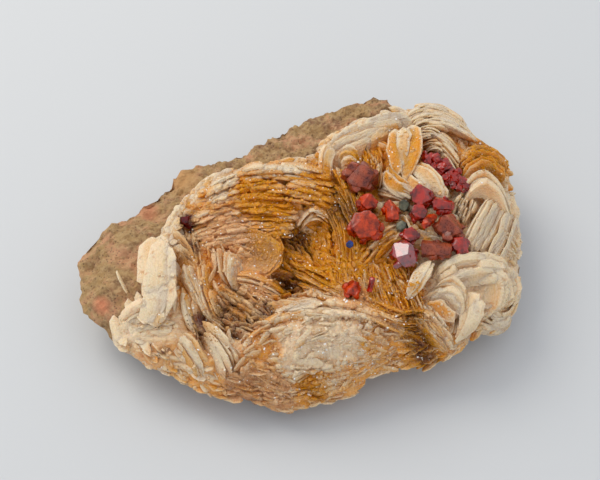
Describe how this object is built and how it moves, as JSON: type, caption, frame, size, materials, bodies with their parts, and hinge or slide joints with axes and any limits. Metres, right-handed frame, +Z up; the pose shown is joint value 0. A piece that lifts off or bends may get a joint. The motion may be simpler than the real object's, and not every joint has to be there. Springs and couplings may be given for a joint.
{
  "type": "vanadinite cluster",
  "caption": "Hand specimen: hexagonal red vanadinite crystals seated in fans of bladed honey-cream barite that cover a gritty brown host rock; it rests on a flat face.",
  "frame": {"origin": "on the flat face that the rock rests on, under the middle of the specimen", "axes": "+Z up from the resting face, +X along the specimen's length from the bare rock to the vanadinites, +Y to the back edge where bare rock shows"},
  "size_m": [0.0897, 0.0701, 0.0243],
  "materials": {
    "host_rock": "gritty mauve-brown rock, matt",
    "barite": "bladed barite, pearly to waxy, amber to cream",
    "vanadinite": "glossy to resinous orange-red crystal",
    "coated_crystal": "dark grey-green coating on a crystal",
    "blue_grain": "dark blue grain"
  },
  "bodies": {
    "root": {"host_rock": "host_rock", "barite_crust": "barite", "vanadinite_great": "vanadinite", "vanadinite_bright": "vanadinite", "vanadinite_tall": "vanadinite", "vanadinite_plate": "vanadinite", "vanadinite_back_pair": "vanadinite", "vanadinite_back_rod": "vanadinite", "vanadinite_stick": "vanadinite", "vanadinite_shaded": "vanadinite", "vanadinite_right": "vanadinite", "vanadinite_small": "vanadinite", "vanadinite_mirror": "vanadinite", "vanadinite_log": "vanadinite", "vanadinite_end": "vanadinite", "vanadinite_low": "vanadinite", "vanadinite_splinter": "vanadinite", "vanadinite_in_hole": "vanadinite", "vanadinite_crevice": "vanadinite", "coated_upper": "coated_crystal", "coated_lower": "coated_crystal", "blue_grain": "blue_grain"}
  },
  "joints": []
}
